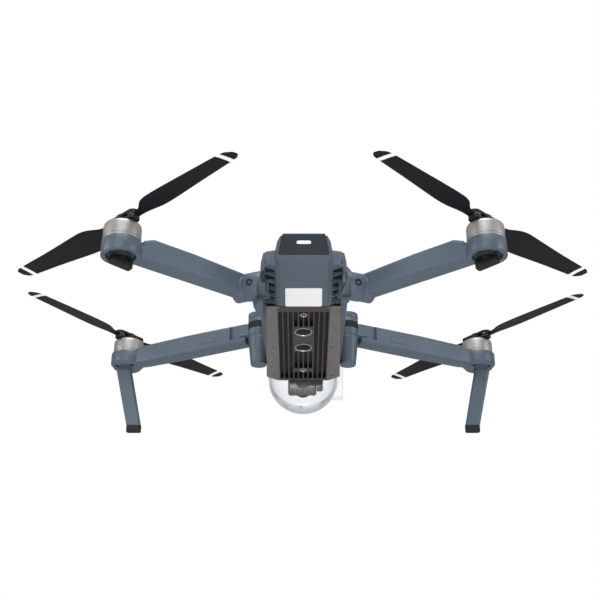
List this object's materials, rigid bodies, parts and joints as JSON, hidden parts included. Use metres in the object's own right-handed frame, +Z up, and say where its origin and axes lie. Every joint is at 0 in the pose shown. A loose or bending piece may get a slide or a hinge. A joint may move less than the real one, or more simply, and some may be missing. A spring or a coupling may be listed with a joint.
{
  "type": "folding camera quadcopter",
  "caption": "Folding quadcopter with swing-out arms, two-bladed folding propellers, slim front legs, a finned heat sink underneath and a clear gimbal cover at the nose.",
  "frame": {"origin": "on the ground, in the drone's plane of symmetry, under the middle of its box with the arms out", "axes": "+X to the drone's right, +Y towards the nose, +Z up; it stands on its four feet with the nose 7.8 degrees up, so the rotor axes lean back by that angle"},
  "size_m": [0.4042, 0.3878, 0.0879],
  "materials": {
    "shell_plastic": "fine satin grain",
    "tail_plastic": "satin",
    "black_plastic": "semi-gloss",
    "blade_plastic": "semi-gloss glass-filled nylon",
    "sink_alloy": "bead-blasted and anodised",
    "motor_alloy": "satin anodised",
    "label_film": "semi-matte film",
    "rubber": "matte",
    "lens_glass": "polished",
    "clear_cover": "polished clear polycarbonate",
    "light_lens": "frosted",
    "steel": "bright",
    "board": "solder mask",
    "winding": "enamelled copper wire",
    "gimbal_alloy": "bead-blasted"
  },
  "bodies": {
    "airframe": {"lower_hull": "shell_plastic", "upper_shell": "shell_plastic", "tail_panel": "tail_plastic", "heat_sink": "sink_alloy", "belly_label": "label_film", "sonar_sensors": "lens_glass", "belly_cameras": "lens_glass", "belly_screws": "steel", "forward_cameras": "lens_glass", "vent_grilles": "black_plastic", "main_board": "board", "nose_board": "board", "fan_frame": "black_plastic", "front_hinge_pins": "steel", "rear_hinge_pins": "steel", "damper_plate": "gimbal_alloy", "yaw_motor": "gimbal_alloy"},
    "battery_pack": {"battery": "shell_plastic"},
    "power_key": {"power_button": "tail_plastic"},
    "gimbal_yaw": {"yaw_arm": "gimbal_alloy"},
    "gimbal_roll": {"roll_arm": "gimbal_alloy"},
    "camera": {"camera_body": "gimbal_alloy", "camera_lens": "lens_glass"},
    "cover": {"gimbal_cover": "clear_cover"},
    "cooling_fan": {"fan_rotor": "black_plastic"},
    "front_arm_body_right": {"front_arm_right": "shell_plastic", "front_leg_right": "shell_plastic", "front_foot_right": "rubber", "front_light_right": "light_lens", "stator_front_right": "winding"},
    "rear_arm_body_right": {"rear_arm_right": "shell_plastic", "rear_foot_right": "rubber", "stator_rear_right": "winding"},
    "latch_right": {"battery_latch_right": "shell_plastic"},
    "front_arm_body_left": {"front_arm_left": "shell_plastic", "front_leg_left": "shell_plastic", "front_foot_left": "rubber", "front_light_left": "light_lens", "stator_front_left": "winding"},
    "rear_arm_body_left": {"rear_arm_left": "shell_plastic", "rear_foot_left": "rubber", "stator_rear_left": "winding"},
    "latch_left": {"battery_latch_left": "shell_plastic"},
    "rotor_rear_left": {"bell_rear_left": "motor_alloy", "hub_rear_left": "black_plastic"},
    "blade_body_rear_left_inner": {"blade_rear_left_inner": "blade_plastic"},
    "blade_body_rear_left_outer": {"blade_rear_left_outer": "blade_plastic"},
    "rotor_rear_right": {"bell_rear_right": "motor_alloy", "hub_rear_right": "black_plastic"},
    "blade_body_rear_right_inner": {"blade_rear_right_inner": "blade_plastic"},
    "blade_body_rear_right_outer": {"blade_rear_right_outer": "blade_plastic"},
    "rotor_front_left": {"bell_front_left": "motor_alloy", "hub_front_left": "black_plastic"},
    "blade_body_front_left_inner": {"blade_front_left_inner": "blade_plastic"},
    "blade_body_front_left_outer": {"blade_front_left_outer": "blade_plastic"},
    "rotor_front_right": {"bell_front_right": "motor_alloy", "hub_front_right": "black_plastic"},
    "blade_body_front_right_inner": {"blade_front_right_inner": "blade_plastic"},
    "blade_body_front_right_outer": {"blade_front_right_outer": "blade_plastic"}
  },
  "joints": [
    {"name": "front_arm_fold_right", "type": "hinge", "parent": "airframe", "child": "front_arm_body_right", "pos_m": [0.033, 0.05565, 0.05411], "axis": [0, 0.1365, -0.9906], "range_deg": [0, 102]},
    {"name": "rear_arm_flip_right", "type": "hinge", "parent": "airframe", "child": "rear_arm_body_right", "pos_m": [0.0365, -0.05815, 0.01552], "axis": [0.9128, 0.4046, 0.0557], "range_deg": [0, 180]},
    {"name": "latch_press_right", "type": "slide", "parent": "battery_pack", "child": "latch_right", "axis": [-1, 0, 0], "range_m": [0, 0.002]},
    {"name": "front_arm_fold_left", "type": "hinge", "parent": "airframe", "child": "front_arm_body_left", "pos_m": [-0.033, 0.05565, 0.05411], "axis": [0, -0.1365, 0.9906], "range_deg": [0, 102]},
    {"name": "rear_arm_flip_left", "type": "hinge", "parent": "airframe", "child": "rear_arm_body_left", "pos_m": [-0.0365, -0.05815, 0.01552], "axis": [0.9128, -0.4046, -0.0557], "range_deg": [0, 180]},
    {"name": "latch_press_left", "type": "slide", "parent": "battery_pack", "child": "latch_left", "axis": [1, 0, 0], "range_m": [0, 0.002]},
    {"name": "spin_rear_left", "type": "hinge", "parent": "rear_arm_body_left", "child": "rotor_rear_left", "pos_m": [-0.11, -0.11268, 0.01204], "axis": [0, -0.1365, 0.9906], "continuous": true},
    {"name": "blade_fold_rear_left_inner", "type": "hinge", "parent": "rotor_rear_left", "child": "blade_body_rear_left_inner", "pos_m": [-0.10297, -0.12172, 0.02553], "axis": [0, 0.1365, -0.9906], "range_deg": [-79.7, 76.3]},
    {"name": "blade_fold_rear_left_outer", "type": "hinge", "parent": "rotor_rear_left", "child": "blade_body_rear_left_outer", "pos_m": [-0.11703, -0.10763, 0.02747], "axis": [0, -0.1365, 0.9906], "range_deg": [-81.8, 74.2]},
    {"name": "spin_rear_right", "type": "hinge", "parent": "rear_arm_body_right", "child": "rotor_rear_right", "pos_m": [0.11, -0.11268, 0.01204], "axis": [0, -0.1365, 0.9906], "continuous": true},
    {"name": "blade_fold_rear_right_inner", "type": "hinge", "parent": "rotor_rear_right", "child": "blade_body_rear_right_inner", "pos_m": [0.10297, -0.12172, 0.02553], "axis": [0, -0.1365, 0.9906], "range_deg": [-80.7, 75.3]},
    {"name": "blade_fold_rear_right_outer", "type": "hinge", "parent": "rotor_rear_right", "child": "blade_body_rear_right_outer", "pos_m": [0.11703, -0.10763, 0.02747], "axis": [0, 0.1365, -0.9906], "range_deg": [-80.8, 75.2]},
    {"name": "spin_front_left", "type": "hinge", "parent": "front_arm_body_left", "child": "rotor_front_left", "pos_m": [-0.1385, 0.10769, 0.06108], "axis": [0, -0.1365, 0.9906], "continuous": true},
    {"name": "blade_fold_front_left_inner", "type": "hinge", "parent": "rotor_front_left", "child": "blade_body_front_left_inner", "pos_m": [-0.13243, 0.11356, 0.07663], "axis": [0, -0.1365, 0.9906], "range_deg": [-82.9, 89.1]},
    {"name": "blade_fold_front_left_outer", "type": "hinge", "parent": "rotor_front_left", "child": "blade_body_front_left_outer", "pos_m": [-0.14457, 0.09782, 0.07446], "axis": [0, 0.1365, -0.9906], "range_deg": [-83.6, 88.4]},
    {"name": "spin_front_right", "type": "hinge", "parent": "front_arm_body_right", "child": "rotor_front_right", "pos_m": [0.1385, 0.10769, 0.06108], "axis": [0, -0.1365, 0.9906], "continuous": true},
    {"name": "blade_fold_front_right_inner", "type": "hinge", "parent": "rotor_front_right", "child": "blade_body_front_right_inner", "pos_m": [0.13243, 0.11356, 0.07663], "axis": [0, 0.1365, -0.9906], "range_deg": [-88.9, 83.1]},
    {"name": "blade_fold_front_right_outer", "type": "hinge", "parent": "rotor_front_right", "child": "blade_body_front_right_outer", "pos_m": [0.14457, 0.09782, 0.07446], "axis": [0, -0.1365, 0.9906], "range_deg": [-87.1, 84.9]},
    {"name": "battery_lift", "type": "slide", "parent": "airframe", "child": "battery_pack", "axis": [0, 0.1365, -0.9906], "range_m": [-0.058, 0]},
    {"name": "power_button_press", "type": "slide", "parent": "battery_pack", "child": "power_key", "axis": [0, 0.1365, -0.9906], "range_m": [0, 0.0008]},
    {"name": "gimbal_yaw_turn", "type": "hinge", "parent": "airframe", "child": "gimbal_yaw", "pos_m": [0, 0.08857, 0.04229], "axis": [0, -0.1365, 0.9906], "range_deg": [-28, 28]},
    {"name": "gimbal_roll_turn", "type": "hinge", "parent": "gimbal_yaw", "child": "gimbal_roll", "pos_m": [0, 0.0885, 0.02815], "axis": [0, 0.9906, 0.1365], "range_deg": [-34, 34]},
    {"name": "gimbal_pitch_turn", "type": "hinge", "parent": "gimbal_roll", "child": "camera", "pos_m": [0, 0.09841, 0.02952], "axis": [1, 0, 0], "range_deg": [-90, 30]},
    {"name": "cover_slide", "type": "slide", "parent": "airframe", "child": "cover", "axis": [0, 0.9906, 0.1365], "range_m": [0, 0.045]},
    {"name": "fan_spin", "type": "hinge", "parent": "airframe", "child": "cooling_fan", "pos_m": [0, -0.05832, 0.02407], "axis": [0, -0.1365, 0.9906], "continuous": true}
  ]
}
